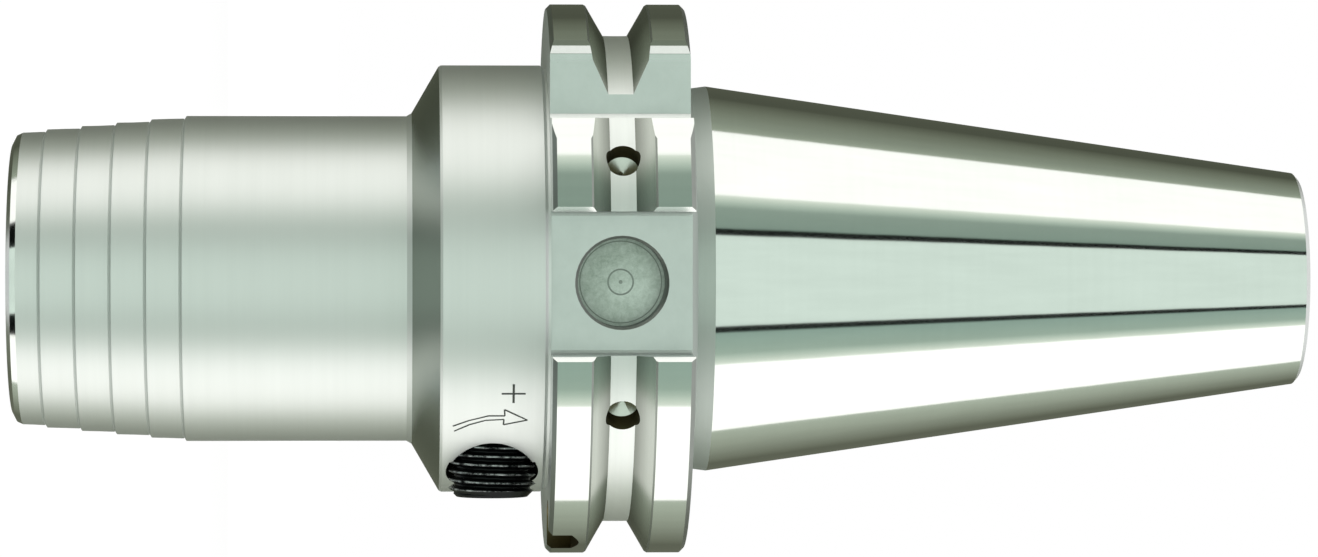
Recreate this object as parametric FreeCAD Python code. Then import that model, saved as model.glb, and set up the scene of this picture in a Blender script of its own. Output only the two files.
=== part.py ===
import FreeCAD, Part
import math
import os

# A hydraulic expansion chuck with a size 40 steep taper, in millimetres. It stands on its nose: +Z runs along
# its axis from the nose face to the taper's small end. -Y points at the keyway with the data chip's pocket.

# Steep taper, size 40
GAUGE_D = 44.45
TAPER_RATIO = 7.0 / 24.0
TAPER_L = 68.4
TAPER_LEAD_L = 0.55
TAPER_END_CHAMFER = 0.5

# Flange with gripper groove
FLANGE_D = 63.55
FLANGE_TO_GAUGE = 3.2
FLANGE_W = 15.9
RIM_CHAMFER = 0.5
GROOVE_TO_GAUGE = 11.1
GROOVE_FLOOR_D = 56.25
GROOVE_PIN_D = 7.0
GROOVE_OVER_PINS = 72.3
GROOVE_HALF_ANGLE = 30.0
GROOVE_EDGE_BEVEL = 0.15
NECK_D = 43.9
NECK_BEVEL = 0.7

# Drive keyways, orientation notch and data chip pocket
KEYWAY_W = 16.1
KEYWAY_FLOOR = 22.8
FAR_KEYWAY_FLOOR = 25.0
KEYWAY_CORNER_R = 0.5
KEYWAY_BEVEL = 0.7
NOTCH_WALL = 18.5
NOTCH_CORNER_R = 0.5
NOTCH_BEVEL = 0.8
CHIP_D = 10.0
CHIP_DEPTH = 4.6
CHIP_CHAMFER = 0.3
CHIP_CENTRE_D = 2.9
CHIP_CENTRE_DEPTH = 0.15

# Balancing holes: angles are from -Y towards +X
DRILL_POINT = 118.0
BALANCE_D = 3.85
BALANCE_DEPTH = 2.7
BALANCE_ANGLES = (-29.2, 31.9)
RIM_HOLE_D = 6.4
RIM_HOLE_R = 30.0
RIM_HOLE_DEPTH = 2.7
RIM_HOLE_ANGLE = 70.8

# Nose, shoulder and collar
NOSE_TO_GAUGE = 80.5
NOSE_D = 33.7
NOSE_CHAMFER_D = 31.1
NOSE_CHAMFER_L = 0.5
NOSE_LEAD_D = 33.1
NOSE_LEAD_L = 0.65
NOSE_BARREL_D = 37.6
RING_COUNT = 5
RING_FIRST_Z = 3.7
RING_PITCH = 4.0
RING_RISE = 0.1
RING_GROOVE_W = 0.24
RING_GROOVE_DEPTH = 0.12
RING_LEAD_L = 0.26
SHOULDER_ANGLE = 60.0
SHOULDER_FOOT_BEVEL = 0.4
SHOULDER_TOP_BEVEL = 0.2
COLLAR_D = 49.4
COLLAR_L = 12.3
COLLAR_EDGE = 0.35
COLLAR_RELIEF_W = 0.3

# Pull-stud hole and central coolant channel
PILOT_D = 17.0
PILOT_L = 7.0
PILOT_CHAMFER = 0.5
STUD_CORE_D = 14.0
STUD_DEPTH = 42.9
COOLANT_D = 8.0

# Expansion sleeve
TOOL_BORE_D = 20.0
SLEEVE_D = 26.0
SEAT_WALL = 3.0
BORE_CHAMFER = 0.6
CHAMBER_DEPTH = 0.6
CHAMBER_L = 16.0
CHAMBER_COUNT = 2
CHAMBER_FIRST_Z = 7.0
CHAMBER_PITCH = 20.5
CHAMBER_LINK_W = 3.0
DIRT_GROOVE_W = 1.2
DIRT_GROOVE_DEPTH = 0.4
DIRT_GROOVE_FIRST_Z = 4.5
OIL_D = 2.0
OIL_PORT_R = 11.85

# Clamping screw, thrust ball, piston and seal, in one bore along X
SCREW_D = 10.0
THREAD_CLEARANCE = 0.05
SCREW_TO_FLANGE = 6.4
SCREW_OFFSET = 11.6
SCREW_OUT = 24.6
SCREW_L = 13.0
SCREW_CHAMFER = 0.9
SCREW_MOUTH_D = 10.56
SCREW_MOUTH_X = 20.6
SCREW_TRAVEL = 4.0
SCREW_STOP_GAP = 0.2
SCREW_SOCKET = 5.0
SCREW_SOCKET_DEPTH = 5.0
BALL_D = 4.5
BALL_GAP = 1.2
BALL_CLEARANCE = 0.05
BALL_SEAT_ANGLE = 90.0
PISTON_D = 7.0
PISTON_CLEARANCE = 0.03
PISTON_L = 6.5
PISTON_STUD_D = 2.6
PISTON_HEAD_D = 4.0
PISTON_HEAD_L = 0.5
BACKUP_L = 1.0
SEAL_L = 2.5
SEAL_LIP_DEPTH = 1.2
OIL_SPACE = 2.2
OIL_PORT_TO_END = 1.1

# Length stop screw and its ring
STOP_D = 10.0
STOP_GAP = 1.5
STOP_L = 16.0
STOP_END_GAP = 0.3
STOP_CHAMFER = 0.6
STOP_SOCKET = 5.0
STOP_SOCKET_DEPTH = 6.0
STOP_COOLANT_D = 3.5
STOP_RING_SECTION = 1.3
STOP_RING_SIDES = 8
STOP_RING_Z = 3.0
STOP_RING_PLAY = 0.3
STOP_RING_CLEARANCE = 0.05

# Bleed screw and its ball
BLEED_D = 5.0
BLEED_L = 6.0
BLEED_SUNK = 0.8
BLEED_CHAMFER = 0.5
BLEED_SOCKET = 2.5
BLEED_SOCKET_DEPTH = 2.5
BLEED_BALL_D = 4.0
BLEED_CHANNEL_END = 10.8

# Flange coolant channels
FLANGE_COOLANT_PCD = 54.0
SEAL_SCREW_D = 4.0
SEAL_SCREW_L = 3.5
SEAL_SCREW_SUNK = 0.3
SEAL_SCREW_CHAMFER = 0.4
SEAL_SCREW_SOCKET = 2.0
SEAL_SCREW_SOCKET_DEPTH = 1.8
CROSS_HOLE_D = 3.0
PLUG_L = 3.0
PLUG_SUNK = 0.2
LINK_D = 2.2
LINK_REACH = 3.0

# Heights along the chuck's axis
GAUGE_Z = NOSE_TO_GAUGE
END_Z = GAUGE_Z + TAPER_L
FLANGE_TOP = GAUGE_Z - FLANGE_TO_GAUGE
FLANGE_BOTTOM = FLANGE_TOP - FLANGE_W
GROOVE_Z = GAUGE_Z - GROOVE_TO_GAUGE
COLLAR_BOTTOM = FLANGE_BOTTOM - COLLAR_L
SCREW_Z = FLANGE_BOTTOM - SCREW_TO_FLANGE
SLEEVE_L = SCREW_Z - PISTON_D / 2 - SEAT_WALL
STOP_Z = SLEEVE_L + STOP_GAP
STOP_BORE_END = STOP_Z + STOP_L + STOP_END_GAP

# Places along the clamping screw's bore, from the outside in
SCREW_IN = SCREW_OUT - SCREW_L
PISTON_OUT = SCREW_IN - BALL_GAP
PISTON_IN = PISTON_OUT - PISTON_L
SEAL_OUT = PISTON_IN - BACKUP_L
SEAL_IN = SEAL_OUT - SEAL_L
SCREW_BORE_END = SCREW_IN - SCREW_TRAVEL - SCREW_STOP_GAP
PISTON_BORE_END = SEAL_IN - PISTON_HEAD_L - SCREW_TRAVEL - OIL_SPACE
OIL_PORT_X = PISTON_BORE_END + OIL_PORT_TO_END
OIL_PORT_Y = -math.sqrt(OIL_PORT_R ** 2 - OIL_PORT_X ** 2)

X_AXIS = FreeCAD.Vector(1, 0, 0)
Y_AXIS = FreeCAD.Vector(0, 1, 0)
Z_AXIS = FreeCAD.Vector(0, 0, 1)
ORIGIN = FreeCAD.Vector(0, 0, 0)
BEYOND = 5.0


def corner_arc(before, corner, after, radius):
    """Start, middle and end of the arc that rounds a corner."""
    to_before = (before - corner).normalize()
    to_after = (after - corner).normalize()
    half = to_before.getAngle(to_after) / 2
    setback = radius / math.tan(half)
    inward = (to_before + to_after).normalize()
    middle = corner + inward * (radius / math.sin(half) - radius)
    return corner + to_before * setback, middle, corner + to_after * setback


def rounded_face(corners):
    """Flat face through corners given as (point, radius), with each corner rounded by its radius."""
    arcs = []
    for i, (corner, radius) in enumerate(corners):
        before = corners[i - 1][0]
        after = corners[(i + 1) % len(corners)][0]
        if radius:
            arcs.append(corner_arc(before, corner, after, radius))
        else:
            arcs.append((corner, None, corner))
    edges = []
    for i, (start, middle, end) in enumerate(arcs):
        if middle:
            edges.append(Part.Arc(start, middle, end).toShape())
        edges.append(Part.makeLine(end, arcs[(i + 1) % len(arcs)][0]))
    return Part.Face(Part.Wire(edges))


def turned(outline):
    """Solid of revolution about Z from (radius, z) or (radius, z, bevel) corners."""
    corners = [FreeCAD.Vector(place[0], 0, place[1]) for place in outline]
    points = []
    for i, place in enumerate(outline):
        if len(place) == 3:
            for beside in (corners[i - 1], corners[(i + 1) % len(corners)]):
                points.append(corners[i] + (beside - corners[i]).normalize() * place[2])
        else:
            points.append(corners[i])
    return Part.Face(Part.makePolygon(points + points[:1])).revolve(ORIGIN, Z_AXIS, 360)


def along(shape, start, direction):
    """A shape made along +Z, turned to point in a direction from a start."""
    turn = FreeCAD.Rotation(Z_AXIS, direction)
    moved = shape.copy()
    moved.Placement = FreeCAD.Placement(start, turn)
    return moved


def rod(diameter, start, end):
    return Part.makeCylinder(diameter / 2, (end - start).Length, start, end - start)


def drilled(diameter, depth, start, direction):
    """Drill hole to full diameter for the depth, with the drill's cone below and room above its mouth."""
    radius = diameter / 2
    cone = radius / math.tan(math.radians(DRILL_POINT / 2))
    tool = turned([(0, -BEYOND), (radius, -BEYOND), (radius, depth), (0, depth + cone)])
    return along(tool, start, direction)


def hex_socket(across_flats, depth, start, direction):
    """Hexagon socket with the cone of the drill that opened it."""
    corner = across_flats / math.sqrt(3)
    points = []
    for side in range(7):
        angle = math.radians(60 * side)
        points.append(FreeCAD.Vector(corner * math.cos(angle), corner * math.sin(angle), 0))
    prism = Part.Face(Part.makePolygon(points)).extrude(Z_AXIS * depth)
    cone = across_flats / 2 / math.tan(math.radians(DRILL_POINT / 2))
    point = Part.makeCone(across_flats / 2, 0, cone, Z_AXIS * depth)
    return along(prism.fuse(point), start, direction)


def set_screw(diameter, length, chamfer, socket, socket_depth, head, inward):
    """Headless screw with a socket, from its head inwards."""
    radius = diameter / 2 - THREAD_CLEARANCE
    blank = turned([(0, 0), (radius - chamfer, 0), (radius, chamfer), (radius, length - chamfer),
                    (radius - chamfer, length), (0, length)])
    return along(blank, head, inward).cut(hex_socket(socket, socket_depth, head, inward))


def from_keyway(angle, radius, z):
    """Point at an angle from -Y towards +X."""
    turn = math.radians(angle)
    return FreeCAD.Vector(radius * math.sin(turn), -radius * math.cos(turn), z)


def taper_radius(z):
    return (GAUGE_D - TAPER_RATIO * (z - GAUGE_Z)) / 2


def nose_outline():
    """Outside of the nose: chamfer and lead, then stepped rings with a fine groove before each step."""
    step = (NOSE_BARREL_D - NOSE_D) / 2 / RING_COUNT
    radius = NOSE_D / 2
    outline = [(NOSE_CHAMFER_D / 2, 0), (NOSE_LEAD_D / 2, NOSE_CHAMFER_L),
               (radius, NOSE_CHAMFER_L + NOSE_LEAD_L)]
    for ring in range(RING_COUNT):
        groove_z = RING_FIRST_Z + ring * RING_PITCH
        outline.append((radius + RING_RISE, groove_z - RING_GROOVE_W / 2))
        outline.append((radius + RING_RISE - RING_GROOVE_DEPTH, groove_z))
        radius += step
        outline.append((radius, groove_z + RING_LEAD_L))
    return outline


def collar_outline():
    """Cone shoulder and collar, up to the flange's front face."""
    barrel = NOSE_BARREL_D / 2
    collar = COLLAR_D / 2
    foot = COLLAR_BOTTOM - (collar - barrel) / math.tan(math.radians(SHOULDER_ANGLE))
    relief = FLANGE_BOTTOM - COLLAR_RELIEF_W
    return [(barrel, foot, SHOULDER_FOOT_BEVEL), (collar, COLLAR_BOTTOM, SHOULDER_TOP_BEVEL),
            (collar, relief - COLLAR_EDGE), (collar - COLLAR_EDGE, relief),
            (collar - COLLAR_EDGE, FLANGE_BOTTOM)]


def flange_outline():
    """Flange rim with its V-groove, whose flanks are set by the size over two pins."""
    rim = FLANGE_D / 2
    floor = GROOVE_FLOOR_D / 2
    half_angle = math.radians(GROOVE_HALF_ANGLE)
    apex = (GROOVE_OVER_PINS - GROOVE_PIN_D) / 2 - GROOVE_PIN_D / 2 / math.sin(half_angle)
    half_rim = (rim - apex) * math.tan(half_angle)
    half_floor = (floor - apex) * math.tan(half_angle)
    return [(rim - RIM_CHAMFER, FLANGE_BOTTOM), (rim, FLANGE_BOTTOM + RIM_CHAMFER),
            (rim, GROOVE_Z - half_rim, GROOVE_EDGE_BEVEL), (floor, GROOVE_Z - half_floor),
            (floor, GROOVE_Z + half_floor), (rim, GROOVE_Z + half_rim, GROOVE_EDGE_BEVEL),
            (rim, FLANGE_TOP - RIM_CHAMFER), (rim - RIM_CHAMFER, FLANGE_TOP)]


def shank_outline():
    """Neck, ground taper and small end, then back down the pull-stud hole to the nose."""
    lead = GAUGE_Z - TAPER_LEAD_L
    end = taper_radius(END_Z)
    pilot = PILOT_D / 2
    core = STUD_CORE_D / 2
    coolant = COOLANT_D / 2
    cone = (core - coolant) / math.tan(math.radians(DRILL_POINT / 2))
    stop = STOP_D / 2
    seat = SLEEVE_D / 2
    edge = END_Z - TAPER_END_CHAMFER
    return [(NECK_D / 2, FLANGE_TOP, NECK_BEVEL), (taper_radius(lead), lead),
            (taper_radius(edge), edge), (end - TAPER_END_CHAMFER, END_Z),
            (pilot + PILOT_CHAMFER, END_Z), (pilot, END_Z - PILOT_CHAMFER), (pilot, END_Z - PILOT_L),
            (core, END_Z - PILOT_L), (core, END_Z - STUD_DEPTH), (coolant, END_Z - STUD_DEPTH - cone),
            (coolant, STOP_BORE_END), (stop, STOP_BORE_END), (stop, SLEEVE_L), (seat, SLEEVE_L), (seat, 0)]


def through_flange(corners):
    """Cutter with a flat outline, through the flange from its front face to past its rear face."""
    placed = [(FreeCAD.Vector(x, y, FLANGE_BOTTOM), radius) for x, y, radius in corners]
    return rounded_face(placed).extrude(Z_AXIS * (FLANGE_W + FLANGE_TO_GAUGE / 2))


def keyway(floor, side):
    """Drive keyway on the -Y (side -1) or +Y (side 1) side, bevelled where it leaves the rim."""
    half = KEYWAY_W / 2
    rim = math.sqrt((FLANGE_D / 2) ** 2 - half ** 2) - KEYWAY_BEVEL
    past = FLANGE_D / 2 + BEYOND
    flare = half + past - rim
    return through_flange([(-half, side * floor, KEYWAY_CORNER_R), (half, side * floor, KEYWAY_CORNER_R),
                           (half, side * rim, 0), (flare, side * past, 0), (-flare, side * past, 0),
                           (-half, side * rim, 0)])


def orientation_notch():
    """Notch at 45 degrees between -X and -Y, bevelled where its walls leave the rim."""
    wall = NOTCH_WALL
    rim = math.sqrt((FLANGE_D / 2) ** 2 - wall ** 2) - NOTCH_BEVEL
    past = FLANGE_D / 2 + BEYOND
    flare = wall - (past - rim)
    return through_flange([(-wall, -wall, NOTCH_CORNER_R), (-wall, -rim, 0), (-flare, -past, 0),
                           (-past, -past, 0), (-past, -flare, 0), (-rim, -wall, 0)])


def chip_pocket():
    """Round pocket for a data chip in the near keyway's floor, with the milling cutter's centre mark."""
    radius = CHIP_D / 2
    mouth = FreeCAD.Vector(0, -KEYWAY_FLOOR, GROOVE_Z)
    tool = turned([(0, -BEYOND), (radius + CHIP_CHAMFER, -BEYOND), (radius + CHIP_CHAMFER, 0),
                   (radius, CHIP_CHAMFER), (radius, CHIP_DEPTH), (CHIP_CENTRE_D / 2, CHIP_DEPTH),
                   (CHIP_CENTRE_D / 2, CHIP_DEPTH + CHIP_CENTRE_DEPTH), (0, CHIP_DEPTH + CHIP_CENTRE_DEPTH)])
    return along(tool, mouth, Y_AXIS)


def balancing_holes():
    holes = []
    for angle in BALANCE_ANGLES:
        mouth = from_keyway(angle, GROOVE_FLOOR_D / 2, GROOVE_Z)
        inward = from_keyway(angle, -1, 0)
        holes.append(drilled(BALANCE_D, BALANCE_DEPTH, mouth, inward))
    rim_mouth = from_keyway(RIM_HOLE_ANGLE, RIM_HOLE_R, FLANGE_BOTTOM)
    holes.append(drilled(RIM_HOLE_D, RIM_HOLE_DEPTH, rim_mouth, Z_AXIS))
    return holes


def on_screw_axis(x):
    return FreeCAD.Vector(x, -SCREW_OFFSET, SCREW_Z)


def screw_bores():
    """Relieved mouth, screw thread and piston bore on one axis, and the oil port down to the sleeve."""
    mouth = rod(SCREW_MOUTH_D, on_screw_axis(SCREW_MOUTH_X), on_screw_axis(COLLAR_D))
    thread = rod(SCREW_D, on_screw_axis(SCREW_BORE_END), on_screw_axis(COLLAR_D))
    piston = rod(PISTON_D + 2 * PISTON_CLEARANCE, on_screw_axis(PISTON_BORE_END), on_screw_axis(COLLAR_D))
    port = rod(OIL_D, FreeCAD.Vector(OIL_PORT_X, OIL_PORT_Y, SLEEVE_L),
               FreeCAD.Vector(OIL_PORT_X, OIL_PORT_Y, SCREW_Z))
    return [mouth, thread, piston, port]


def bleed_bores():
    """Threaded bleed hole with a cone seat on the +Y side, and its channel down to the sleeve's seat."""
    head = FreeCAD.Vector(0, COLLAR_D / 2, SCREW_Z)
    radius = BLEED_D / 2
    apex = COLLAR_D / 2 - bleed_ball_y() + BLEED_BALL_D / 2 * math.sqrt(2)
    hole = turned([(0, -BEYOND), (radius, -BEYOND), (radius, apex - radius), (0, apex)])
    channel = rod(OIL_D, FreeCAD.Vector(0, BLEED_CHANNEL_END, SCREW_Z), head)
    port = rod(OIL_D, FreeCAD.Vector(0, OIL_PORT_R, SLEEVE_L), FreeCAD.Vector(0, OIL_PORT_R, SCREW_Z))
    return [along(hole, head, -Y_AXIS), channel, port]


def flange_coolant_bores():
    """Cross hole through the groove's floor, and on each side a screw hole in the rear face with its link."""
    reach = FLANGE_D / 2
    cutters = [rod(CROSS_HOLE_D, FreeCAD.Vector(-reach, 0, GROOVE_Z), FreeCAD.Vector(reach, 0, GROOVE_Z))]
    for side in (-1, 1):
        mouth = FreeCAD.Vector(side * FLANGE_COOLANT_PCD / 2, 0, FLANGE_TOP)
        bottom = mouth - Z_AXIS * (SEAL_SCREW_SUNK + SEAL_SCREW_L)
        cutters.append(rod(SEAL_SCREW_D, mouth + Z_AXIS * BEYOND, bottom))
        cutters.append(rod(LINK_D, bottom, FreeCAD.Vector(bottom.x - side * LINK_REACH, 0, GROOVE_Z)))
    return cutters


def chuck_body():
    blank = turned(nose_outline() + collar_outline() + flange_outline() + shank_outline())
    cutters = [keyway(KEYWAY_FLOOR, -1), keyway(FAR_KEYWAY_FLOOR, 1), orientation_notch(), chip_pocket()]
    cutters += balancing_holes() + screw_bores() + bleed_bores() + flange_coolant_bores()
    for cutter in cutters:
        blank = blank.cut(cutter)
    return blank


def expansion_sleeve():
    """Sleeve with the tool bore inside and the oil chambers outside, linked to each other and both ports."""
    outer = SLEEVE_D / 2
    bore = TOOL_BORE_D / 2
    sleeve = turned([(bore + BORE_CHAMFER, 0), (outer, 0), (outer, SLEEVE_L), (bore, SLEEVE_L),
                     (bore, BORE_CHAMFER)])
    chamber = outer - CHAMBER_DEPTH
    last_top = CHAMBER_FIRST_Z + (CHAMBER_COUNT - 1) * CHAMBER_PITCH + CHAMBER_L
    for number in range(CHAMBER_COUNT):
        bottom = CHAMBER_FIRST_Z + number * CHAMBER_PITCH
        top = bottom + CHAMBER_L
        sleeve = sleeve.cut(turned([(chamber, bottom), (outer + BEYOND, bottom), (outer + BEYOND, top),
                                    (chamber, top)]))
    for number in range(CHAMBER_COUNT + 1):
        z = DIRT_GROOVE_FIRST_Z + number * CHAMBER_PITCH
        sleeve = sleeve.cut(turned([(0, z), (bore, z), (bore + DIRT_GROOVE_DEPTH, z + DIRT_GROOVE_W / 2),
                                    (bore, z + DIRT_GROOVE_W), (0, z + DIRT_GROOVE_W)]))
    link = Part.makeBox(CHAMBER_LINK_W, outer, last_top - CHAMBER_FIRST_Z,
                        FreeCAD.Vector(-CHAMBER_LINK_W / 2, chamber, CHAMBER_FIRST_Z))
    sleeve = sleeve.cut(link)
    for x, y in ((OIL_PORT_X, OIL_PORT_Y), (0, OIL_PORT_R)):
        port = rod(OIL_D, FreeCAD.Vector(x, y, last_top - OIL_D), FreeCAD.Vector(x, y, SLEEVE_L))
        sleeve = sleeve.cut(port)
    return sleeve


def thrust_ball_centre():
    return on_screw_axis(SCREW_IN - BALL_GAP / 2)


def ball_seat(outward):
    """Cone that the thrust ball sits in, cut into the screw (outward 1) or the piston (outward -1)."""
    half_angle = math.radians(BALL_SEAT_ANGLE / 2)
    depth = (BALL_D / 2 + BALL_CLEARANCE) / math.sin(half_angle)
    return Part.makeCone(depth * math.tan(half_angle), 0, depth, thrust_ball_centre(), X_AXIS * outward)


def clamping_screw():
    screw = set_screw(SCREW_D, SCREW_L, SCREW_CHAMFER, SCREW_SOCKET, SCREW_SOCKET_DEPTH,
                      on_screw_axis(SCREW_OUT), -X_AXIS)
    return screw.cut(ball_seat(1))


def thrust_ball():
    return Part.makeSphere(BALL_D / 2, thrust_ball_centre())


def pressure_piston():
    """Piston with a stud through its ring and seal, and a head that keeps them on."""
    stud_end = PISTON_L + BACKUP_L + SEAL_L
    body = turned([(0, 0), (PISTON_D / 2, 0), (PISTON_D / 2, PISTON_L), (PISTON_STUD_D / 2, PISTON_L),
                   (PISTON_STUD_D / 2, stud_end), (PISTON_HEAD_D / 2, stud_end),
                   (PISTON_HEAD_D / 2, stud_end + PISTON_HEAD_L), (0, stud_end + PISTON_HEAD_L)])
    return along(body, on_screw_axis(PISTON_OUT), -X_AXIS).cut(ball_seat(-1))


def piston_backup_ring():
    inner = PISTON_STUD_D / 2
    outer = PISTON_D / 2
    ring = turned([(inner, 0), (outer, 0), (outer, BACKUP_L), (inner, BACKUP_L)])
    return along(ring, on_screw_axis(PISTON_IN), -X_AXIS)


def piston_seal():
    """Rubber cup whose lip opens towards the oil."""
    inner = PISTON_STUD_D / 2
    outer = PISTON_D / 2
    inner_lip = PISTON_HEAD_D / 2
    cup = turned([(inner, 0), (outer, 0), (outer, SEAL_L), ((inner_lip + outer) / 2, SEAL_L - SEAL_LIP_DEPTH),
                  (inner_lip, SEAL_L), (inner, SEAL_L)])
    return along(cup, on_screw_axis(SEAL_OUT), -X_AXIS)


def length_stop_screw():
    """Stop screw behind the tool: socket towards the nose, coolant hole through, groove for its ring."""
    head = FreeCAD.Vector(0, 0, STOP_Z)
    screw = set_screw(STOP_D, STOP_L, STOP_CHAMFER, STOP_SOCKET, STOP_SOCKET_DEPTH, head, Z_AXIS)
    screw = screw.cut(rod(STOP_COOLANT_D, head, head + Z_AXIS * STOP_L))
    groove_floor = STOP_D / 2 - STOP_RING_CLEARANCE - STOP_RING_SECTION - STOP_RING_CLEARANCE
    half_width = STOP_RING_SECTION / 2 + STOP_RING_PLAY
    middle = STOP_Z + STOP_RING_Z
    return screw.cut(turned([(groove_floor, middle - half_width), (STOP_D, middle - half_width),
                             (STOP_D, middle + half_width), (groove_floor, middle + half_width)]))


def stop_screw_seal():
    """Rubber ring, whose round section has a few flat sides."""
    section = STOP_RING_SECTION / 2
    outline = []
    for side in range(STOP_RING_SIDES):
        turn = 2 * math.pi * (side + 0.5) / STOP_RING_SIDES
        outline.append((STOP_D / 2 - STOP_RING_CLEARANCE - section + section * math.cos(turn),
                        STOP_Z + STOP_RING_Z + section * math.sin(turn)))
    return turned(outline)


def bleed_head_y():
    return COLLAR_D / 2 - BLEED_SUNK


def bleed_ball_y():
    return bleed_head_y() - BLEED_L - BLEED_BALL_D / 2


def bleed_screw():
    return set_screw(BLEED_D, BLEED_L, BLEED_CHAMFER, BLEED_SOCKET, BLEED_SOCKET_DEPTH,
                     FreeCAD.Vector(0, bleed_head_y(), SCREW_Z), -Y_AXIS)


def bleed_ball():
    return Part.makeSphere(BLEED_BALL_D / 2, FreeCAD.Vector(0, bleed_ball_y(), SCREW_Z))


def coolant_seal_screw(side):
    head = FreeCAD.Vector(side * FLANGE_COOLANT_PCD / 2, 0, FLANGE_TOP - SEAL_SCREW_SUNK)
    return set_screw(SEAL_SCREW_D, SEAL_SCREW_L, SEAL_SCREW_CHAMFER, SEAL_SCREW_SOCKET,
                     SEAL_SCREW_SOCKET_DEPTH, head, -Z_AXIS)


def cross_hole_plug(side):
    outer = GROOVE_FLOOR_D / 2 - PLUG_SUNK
    return rod(CROSS_HOLE_D, FreeCAD.Vector(side * (outer - PLUG_L), 0, GROOVE_Z),
               FreeCAD.Vector(side * outer, 0, GROOVE_Z))


def write(name, shape):
    shape.exportStep("parts/" + name + ".step")


os.makedirs("parts", exist_ok=True)
write("chuck_body", chuck_body())
write("expansion_sleeve", expansion_sleeve())
write("clamping_screw", clamping_screw())
write("thrust_ball", thrust_ball())
write("pressure_piston", pressure_piston())
write("piston_backup_ring", piston_backup_ring())
write("piston_seal", piston_seal())
write("length_stop_screw", length_stop_screw())
write("stop_screw_seal", stop_screw_seal())
write("bleed_screw", bleed_screw())
write("bleed_ball", bleed_ball())
for letter, side in (("a", -1), ("b", 1)):
    write("coolant_seal_screw_" + letter, coolant_seal_screw(side))
    write("cross_hole_plug_" + letter, cross_hole_plug(side))
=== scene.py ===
import math

import bpy
from mathutils import Matrix, Vector

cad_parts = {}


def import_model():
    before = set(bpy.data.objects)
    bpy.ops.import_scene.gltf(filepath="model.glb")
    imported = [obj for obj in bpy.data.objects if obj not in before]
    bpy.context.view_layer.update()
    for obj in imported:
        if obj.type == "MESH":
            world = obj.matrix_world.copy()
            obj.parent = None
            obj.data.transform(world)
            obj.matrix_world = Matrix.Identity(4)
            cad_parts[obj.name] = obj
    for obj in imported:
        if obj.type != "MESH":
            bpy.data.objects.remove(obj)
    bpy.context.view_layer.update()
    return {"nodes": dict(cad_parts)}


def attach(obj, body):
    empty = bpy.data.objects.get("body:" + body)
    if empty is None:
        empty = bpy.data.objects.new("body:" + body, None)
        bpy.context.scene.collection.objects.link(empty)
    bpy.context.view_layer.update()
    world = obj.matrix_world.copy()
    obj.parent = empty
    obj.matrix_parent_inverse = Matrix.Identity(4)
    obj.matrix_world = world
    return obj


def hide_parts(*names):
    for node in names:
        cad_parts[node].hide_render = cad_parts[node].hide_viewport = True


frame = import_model()

# Sizes of the chuck in metres, as its part has them. Z runs from the nose face along the axis
MM = 0.001
COLLAR_R = 24.7 * MM
FLANGE_BOTTOM = 61.4 * MM
FLANGE_TOP = 77.3 * MM
RIM_R = 31.775 * MM
RIM_BEVEL = 0.7 * MM
GROOVE_Z = 69.4 * MM
GROOVE_HALF_ANGLE = math.radians(30)
GROOVE_FLOOR_R = 28.125 * MM
TAPER_START = 79.95 * MM
TAPER_END = 148.9 * MM
NOSE_FACE_R = 15.5 * MM
NOSE_LEAD_TOP = 1.2 * MM
NOSE_BARREL_R = 18.7 * MM
BODY_BORE_R = 13.0 * MM
KEYWAY_FLOOR = 22.8 * MM
POCKET_R = 5.35 * MM
NOTCH_INNERMOST = 24.0 * MM
BALANCE_R = 1.925 * MM
BALANCE_INNERMOST = 20.0 * MM
BALANCE_ANGLES = (-29.2, 31.9)
RIM_HOLE_R = 3.2 * MM
RIM_HOLE_OUT = 30.0 * MM
RIM_HOLE_ANGLE = 70.8
RIM_HOLE_TOP = 66.3 * MM
STUD_R = 7.0 * MM
STUD_DEPTH = 42.9 * MM
STUD_PITCH = 2.0 * MM

# How far past such a size a face's centre may lie and still belong to it
HAIR = 0.01 * MM
SLACK = 0.03 * MM
NEAR = 0.1 * MM

# Clamping screw, in its hole across the collar, and length stop screw on the axis: M10 x 1 threads
THREAD_R = 4.95 * MM
THREAD_PITCH = 1.0 * MM
THREAD_DEPTH = 0.61 * MM
SOCKET_ACROSS = 5.0 * MM
SCREW_X = 24.6 * MM
SCREW_Y = -11.6 * MM
SCREW_Z = 55.0 * MM
SCREW_L = 13.0 * MM
SCREW_MOUTH_R = 5.28 * MM
SCREW_CHAMFER = 0.9 * MM
SCREW_SOCKET_DEPTH = 5.0 * MM
SCREW_SOCKET_TIP = 6.4 * MM
BALL_CUP_R = 2.6 * MM
BALL_CUP_DEPTH = 2.55 * MM
STOP_Z = 50.0 * MM
STOP_L = 16.0 * MM
STOP_CHAMFER = 0.6 * MM
STOP_SOCKET_DEPTH = 6.0 * MM
STOP_BORE_R = 1.75 * MM
STOP_BORE_START = 6.45 * MM
STOP_RING_START = 2.05 * MM
STOP_RING_END = 3.95 * MM
STOP_RING_FLOOR_R = 3.6 * MM
TIP_R = 0.05 * MM
ROUND_STEPS = 72
ROWS_PER_PITCH = 16
SHARP_ANGLE = 32

# Marks on the collar: places are (angle in degrees from -Y towards +X, height in mm), widths are in mm
MARK_LIFT = 0.012 * MM
PLUS_PLACE = (30.4, 57.25)
PLUS_HALF_ANGLE = 2.9
PLUS_HALF_HEIGHT = 1.35
PLUS_WIDTHS = (0.26, 0.22)
ARROW_WIDTH = 0.17
ARROW = ((41.2, 50.45), (39.15, 52.3), (37.6, 54.45), (37.6, 56.3), (35.5, 56.25), (39.05, 58.85),
         (40.7, 56.15), (38.8, 56.2), (39.15, 54.1), (40.7, 52.3), (43.0, 50.6))
MARK_STEP = 0.3

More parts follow.
